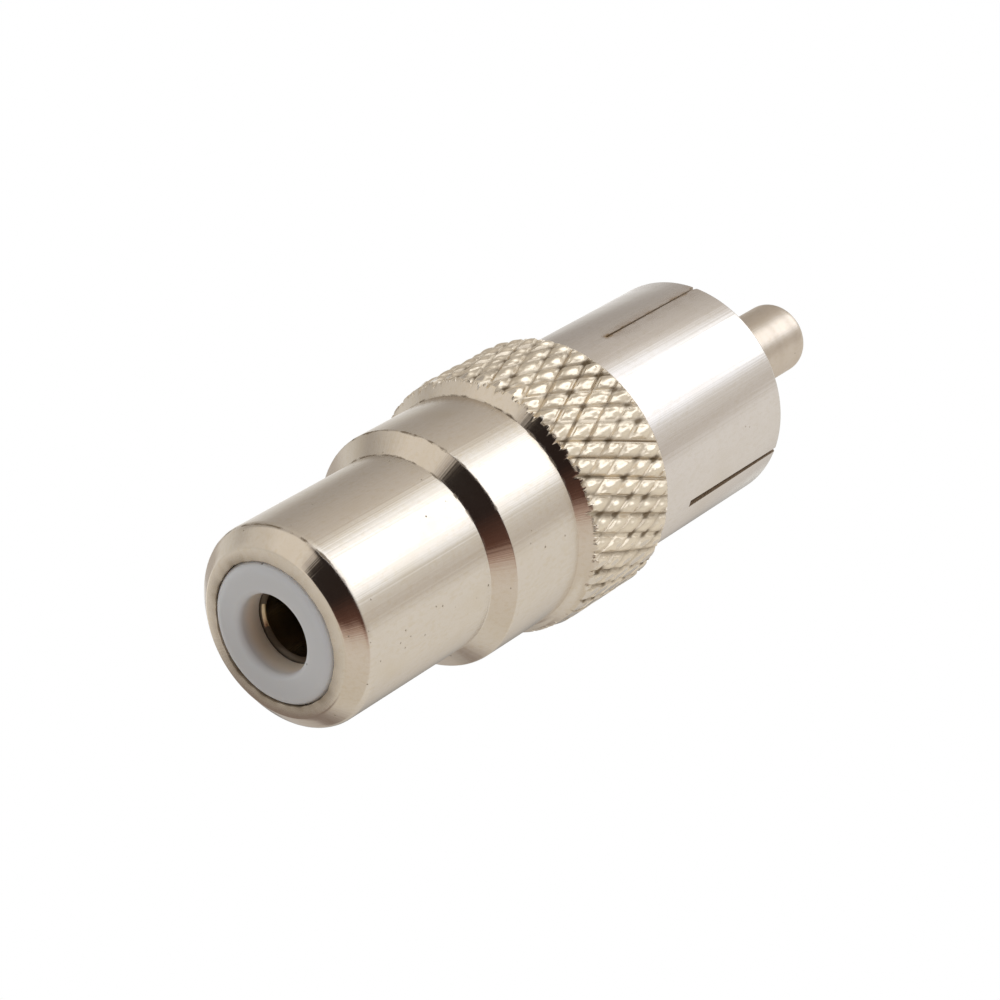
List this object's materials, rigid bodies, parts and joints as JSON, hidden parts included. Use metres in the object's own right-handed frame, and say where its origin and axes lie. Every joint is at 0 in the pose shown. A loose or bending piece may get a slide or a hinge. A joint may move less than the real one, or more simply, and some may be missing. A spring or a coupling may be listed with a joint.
{
  "type": "rca adapter",
  "caption": "Straight RCA (phono) audio adapter: an insulated socket at one end, a slotted sleeve with a round-nosed pin at the other, and a diamond-knurled grip collar between.",
  "frame": {"origin": "centre of the socket's insulator face, on the adapter's axis, at the bottom of the part", "axes": "+Z along the adapter's axis from the socket to the plug's pin; -Y through one saw cut of the plug's sleeve"},
  "size_m": [0.0112, 0.0112, 0.0343],
  "materials": {
    "body_plating": "bright nickel plating over turned brass, slightly warm, fine turning marks",
    "sleeve_plating": "bright nickel plating over turned brass",
    "contact_metal": "dull nickel plating over brass",
    "white_insulator": "satin white, slightly translucent"
  },
  "bodies": {
    "root": {"jack_body": "body_plating", "plug_sleeve": "sleeve_plating", "jack_insulator": "white_insulator", "socket_contact": "contact_metal", "plug_insulator": "white_insulator", "centre_pin": "sleeve_plating"}
  },
  "joints": []
}
